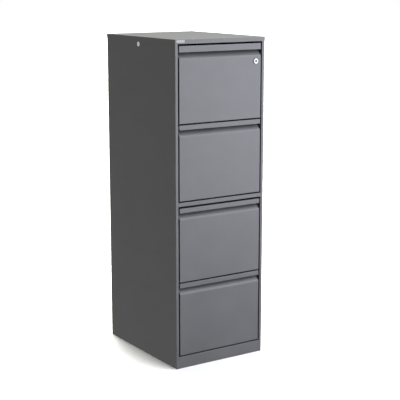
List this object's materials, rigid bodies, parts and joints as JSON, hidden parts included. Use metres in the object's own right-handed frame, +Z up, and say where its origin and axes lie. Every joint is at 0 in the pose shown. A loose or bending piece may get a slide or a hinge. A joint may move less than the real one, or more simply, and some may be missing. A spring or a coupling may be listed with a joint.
{
  "type": "filing cabinet",
  "caption": "Tall narrow steel filing cabinet with stacked pull-out drawers, folded recessed pulls, telescopic slides and a cam lock that lifts a locking bar.",
  "frame": {"origin": "centre of the footprint, on the floor", "axes": "+Z up, drawers slide out towards -Y, +X to the right seen from the front"},
  "size_m": [0.425, 0.545, 1.32],
  "materials": {
    "graphite_paint": "fine-texture graphite powder coat",
    "zinc_steel": "bright zinc plate",
    "slide_steel": "cold-rolled plated steel, lightly greased",
    "chrome": "polished chrome plate",
    "nickel": "satin nickel plate",
    "white_plastic": "moulded white plastic",
    "label_plate": "satin blank plate"
  },
  "bodies": {
    "cabinet": {"top_cap": "graphite_paint", "left_side_panel": "graphite_paint", "right_side_panel": "graphite_paint", "back_panel": "graphite_paint", "bottom_panel": "graphite_paint", "plinth": "graphite_paint", "mid_rail": "graphite_paint", "front_posts": "zinc_steel", "rear_posts": "zinc_steel", "side_plugs": "white_plastic", "nameplate": "label_plate", "lock_bar_guides": "zinc_steel", "carcass_screws": "zinc_steel", "drawer_1_outer_rails": "slide_steel", "drawer_2_outer_rails": "slide_steel", "drawer_3_outer_rails": "slide_steel", "drawer_4_outer_rails": "slide_steel"},
    "drawer_1": {"drawer_1_front": "graphite_paint", "drawer_1_tray": "graphite_paint", "drawer_1_file_rails": "zinc_steel", "drawer_1_catch": "zinc_steel", "drawer_1_screws": "zinc_steel", "drawer_1_inner_rails": "slide_steel", "lock_housing": "chrome", "lock_nut": "zinc_steel"},
    "middle_slides_1": {"drawer_1_middle_rails": "slide_steel"},
    "outer_cages_1": {"drawer_1_outer_ball_cages": "slide_steel"},
    "inner_cages_1": {"drawer_1_inner_ball_cages": "slide_steel"},
    "drawer_2": {"drawer_2_front": "graphite_paint", "drawer_2_tray": "graphite_paint", "drawer_2_file_rails": "zinc_steel", "drawer_2_catch": "zinc_steel", "drawer_2_screws": "zinc_steel", "drawer_2_inner_rails": "slide_steel"},
    "middle_slides_2": {"drawer_2_middle_rails": "slide_steel"},
    "outer_cages_2": {"drawer_2_outer_ball_cages": "slide_steel"},
    "inner_cages_2": {"drawer_2_inner_ball_cages": "slide_steel"},
    "drawer_3": {"drawer_3_front": "graphite_paint", "drawer_3_tray": "graphite_paint", "drawer_3_file_rails": "zinc_steel", "drawer_3_catch": "zinc_steel", "drawer_3_screws": "zinc_steel", "drawer_3_inner_rails": "slide_steel"},
    "middle_slides_3": {"drawer_3_middle_rails": "slide_steel"},
    "outer_cages_3": {"drawer_3_outer_ball_cages": "slide_steel"},
    "inner_cages_3": {"drawer_3_inner_ball_cages": "slide_steel"},
    "drawer_4": {"drawer_4_front": "graphite_paint", "drawer_4_tray": "graphite_paint", "drawer_4_file_rails": "zinc_steel", "drawer_4_catch": "zinc_steel", "drawer_4_screws": "zinc_steel", "drawer_4_inner_rails": "slide_steel"},
    "middle_slides_4": {"drawer_4_middle_rails": "slide_steel"},
    "outer_cages_4": {"drawer_4_outer_ball_cages": "slide_steel"},
    "inner_cages_4": {"drawer_4_inner_ball_cages": "slide_steel"},
    "lock_barrel": {"lock_plug": "nickel", "lock_cam": "zinc_steel", "cam_screw": "zinc_steel"},
    "lock_bar": {"lock_bar": "zinc_steel", "lock_bar_hooks": "zinc_steel"}
  },
  "joints": [
    {"name": "drawer_1_slide", "type": "slide", "parent": "cabinet", "child": "drawer_1", "axis": [0, -1, 0], "range_m": [0, 0.43]},
    {"name": "middle_slides_1_slide", "type": "slide", "parent": "cabinet", "child": "middle_slides_1", "axis": [0, -1, 0], "range_m": [0, 0.215]},
    {"name": "outer_cages_1_slide", "type": "slide", "parent": "cabinet", "child": "outer_cages_1", "axis": [0, -1, 0], "range_m": [0, 0.1075]},
    {"name": "inner_cages_1_slide", "type": "slide", "parent": "cabinet", "child": "inner_cages_1", "axis": [0, -1, 0], "range_m": [0, 0.3225]},
    {"name": "drawer_2_slide", "type": "slide", "parent": "cabinet", "child": "drawer_2", "axis": [0, -1, 0], "range_m": [0, 0.43]},
    {"name": "middle_slides_2_slide", "type": "slide", "parent": "cabinet", "child": "middle_slides_2", "axis": [0, -1, 0], "range_m": [0, 0.215]},
    {"name": "outer_cages_2_slide", "type": "slide", "parent": "cabinet", "child": "outer_cages_2", "axis": [0, -1, 0], "range_m": [0, 0.1075]},
    {"name": "inner_cages_2_slide", "type": "slide", "parent": "cabinet", "child": "inner_cages_2", "axis": [0, -1, 0], "range_m": [0, 0.3225]},
    {"name": "drawer_3_slide", "type": "slide", "parent": "cabinet", "child": "drawer_3", "axis": [0, -1, 0], "range_m": [0, 0.43]},
    {"name": "middle_slides_3_slide", "type": "slide", "parent": "cabinet", "child": "middle_slides_3", "axis": [0, -1, 0], "range_m": [0, 0.215]},
    {"name": "outer_cages_3_slide", "type": "slide", "parent": "cabinet", "child": "outer_cages_3", "axis": [0, -1, 0], "range_m": [0, 0.1075]},
    {"name": "inner_cages_3_slide", "type": "slide", "parent": "cabinet", "child": "inner_cages_3", "axis": [0, -1, 0], "range_m": [0, 0.3225]},
    {"name": "drawer_4_slide", "type": "slide", "parent": "cabinet", "child": "drawer_4", "axis": [0, -1, 0], "range_m": [0, 0.43]},
    {"name": "middle_slides_4_slide", "type": "slide", "parent": "cabinet", "child": "middle_slides_4", "axis": [0, -1, 0], "range_m": [0, 0.215]},
    {"name": "outer_cages_4_slide", "type": "slide", "parent": "cabinet", "child": "outer_cages_4", "axis": [0, -1, 0], "range_m": [0, 0.1075]},
    {"name": "inner_cages_4_slide", "type": "slide", "parent": "cabinet", "child": "inner_cages_4", "axis": [0, -1, 0], "range_m": [0, 0.3225]},
    {"name": "lock_turn", "type": "hinge", "parent": "drawer_1", "child": "lock_barrel", "pos_m": [0.1678, -0.2695, 1.223], "axis": [0, -1, 0], "range_deg": [0, 90]},
    {"name": "lock_bar_lift", "type": "slide", "parent": "cabinet", "child": "lock_bar", "axis": [0, 0, 1], "range_m": [0, 0.03535]}
  ],
  "couplings": [
    {"joint": "middle_slides_1_slide", "follows": "drawer_1_slide", "ratio": 0.5},
    {"joint": "outer_cages_1_slide", "follows": "drawer_1_slide", "ratio": 0.25},
    {"joint": "inner_cages_1_slide", "follows": "drawer_1_slide", "ratio": 0.75},
    {"joint": "middle_slides_2_slide", "follows": "drawer_2_slide", "ratio": 0.5},
    {"joint": "outer_cages_2_slide", "follows": "drawer_2_slide", "ratio": 0.25},
    {"joint": "inner_cages_2_slide", "follows": "drawer_2_slide", "ratio": 0.75},
    {"joint": "middle_slides_3_slide", "follows": "drawer_3_slide", "ratio": 0.5},
    {"joint": "outer_cages_3_slide", "follows": "drawer_3_slide", "ratio": 0.25},
    {"joint": "inner_cages_3_slide", "follows": "drawer_3_slide", "ratio": 0.75},
    {"joint": "middle_slides_4_slide", "follows": "drawer_4_slide", "ratio": 0.5},
    {"joint": "outer_cages_4_slide", "follows": "drawer_4_slide", "ratio": 0.25},
    {"joint": "inner_cages_4_slide", "follows": "drawer_4_slide", "ratio": 0.75},
    {"joint": "lock_turn", "follows": "lock_bar_lift", "rad_per_m": 44.424}
  ]
}
